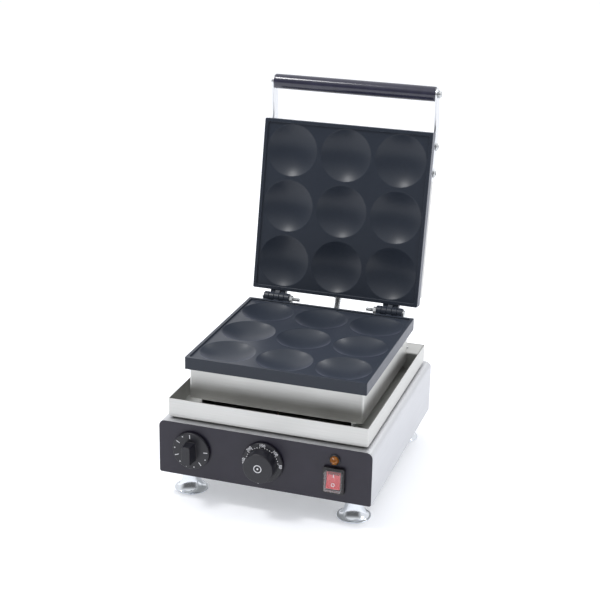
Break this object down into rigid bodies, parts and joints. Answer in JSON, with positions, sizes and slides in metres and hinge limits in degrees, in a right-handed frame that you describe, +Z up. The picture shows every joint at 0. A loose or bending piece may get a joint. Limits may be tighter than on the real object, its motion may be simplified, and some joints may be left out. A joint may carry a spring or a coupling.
{
  "type": "pancake maker",
  "caption": "Countertop electric pancake maker, shown open: stainless body on turned feet, control panel, drip tray, hollowed cast plates and a hinged lid with a bar handle.",
  "frame": {"origin": "middle of the footprint of the open machine, on the surface that its feet stand on", "axes": "+Z up, +X to the right seen from the front, -Y towards the front, where the control panel is"},
  "size_m": [0.31, 0.4502, 0.5354],
  "materials": {
    "stainless": "finely brushed sheet",
    "panel_enamel": "satin charcoal enamel",
    "coated_cast": "cast aluminium with dark non-stick coating",
    "chrome": "polished chrome plate",
    "zinc": "zinc-plated or turned steel",
    "knob_black": "moulded phenolic",
    "grip_black": "polished phenolic tube",
    "gasket_rubber": "silicone strip",
    "amber_lens": "clear amber moulding",
    "rocker_red": "translucent red moulding",
    "boot_clear": "soft clear vinyl",
    "wool_board": "pressed ceramic wool",
    "element_sheath": "heat-darkened tube",
    "terminal_ivory": "moulded terminal block"
  },
  "bodies": {
    "base": {"body_casing": "stainless", "control_panel": "panel_enamel", "rear_panel": "stainless", "base_plate": "stainless", "foot_front_left": "chrome", "foot_front_right": "chrome", "foot_rear_left": "chrome", "foot_rear_right": "chrome", "tray_gasket": "gasket_rubber", "drip_tray": "stainless", "duct_cover": "stainless", "duct_screw_left": "zinc", "duct_screw_right": "zinc", "box_rail_left": "zinc", "box_rail_right": "zinc", "heater_box": "stainless", "lower_insulation": "wool_board", "lower_element": "element_sheath", "lower_clamp_plate": "zinc", "lower_clamp_bolt": "zinc", "lower_plate": "coated_cast", "hinge_pin_left": "zinc", "hinge_pin_right": "zinc", "hinge_nut_left": "zinc", "hinge_nut_right": "zinc", "conduit_ferrule_base": "zinc", "conduit": "zinc", "cord_gland": "knob_black", "terminal_block": "terminal_ivory", "timer_clockwork": "zinc", "thermostat_case": "zinc", "thermostat_capillary": "zinc", "thermostat_bulb": "zinc", "pilot_lens": "amber_lens", "pilot_lamp_holder": "knob_black", "switch_body": "knob_black", "switch_boot": "boot_clear"},
    "lid": {"upper_plate": "coated_cast", "lid_cover": "stainless", "upper_insulation": "wool_board", "upper_element": "element_sheath", "upper_clamp_plate": "zinc", "upper_clamp_bolt": "zinc", "handle_arm_left": "zinc", "handle_arm_right": "zinc", "handle_grip": "grip_black", "handle_rod": "zinc", "handle_rod_nut": "zinc", "arm_bolt_left_1": "zinc", "arm_bolt_left_2": "zinc", "arm_bolt_right_1": "zinc", "arm_bolt_right_2": "zinc", "conduit_ferrule_lid": "zinc"},
    "timer_dial": {"timer_knob": "knob_black", "timer_shaft": "zinc"},
    "thermostat_dial": {"thermostat_knob": "knob_black", "thermostat_shaft": "zinc"},
    "rocker": {"switch_rocker": "rocker_red"}
  },
  "joints": [
    {"name": "lid_hinge", "type": "hinge", "parent": "base", "child": "lid", "pos_m": [0, 0.11666, 0.20015], "axis": [1, 0, 0], "range_deg": [0, 101], "deforming": ["conduit"]},
    {"name": "timer_turn", "type": "hinge", "parent": "base", "child": "timer_dial", "pos_m": [-0.1054, -0.20064, 0.0795], "axis": [0, 1, 0], "range_deg": [0, 263]},
    {"name": "thermostat_turn", "type": "hinge", "parent": "base", "child": "thermostat_dial", "pos_m": [0.0003, -0.20064, 0.0795], "axis": [0, 1, 0], "range_deg": [0, 276]},
    {"name": "rocker_tilt", "type": "hinge", "parent": "base", "child": "rocker", "pos_m": [0.1025, -0.19964, 0.0702], "axis": [1, 0, 0], "range_deg": [0, 20]}
  ]
}
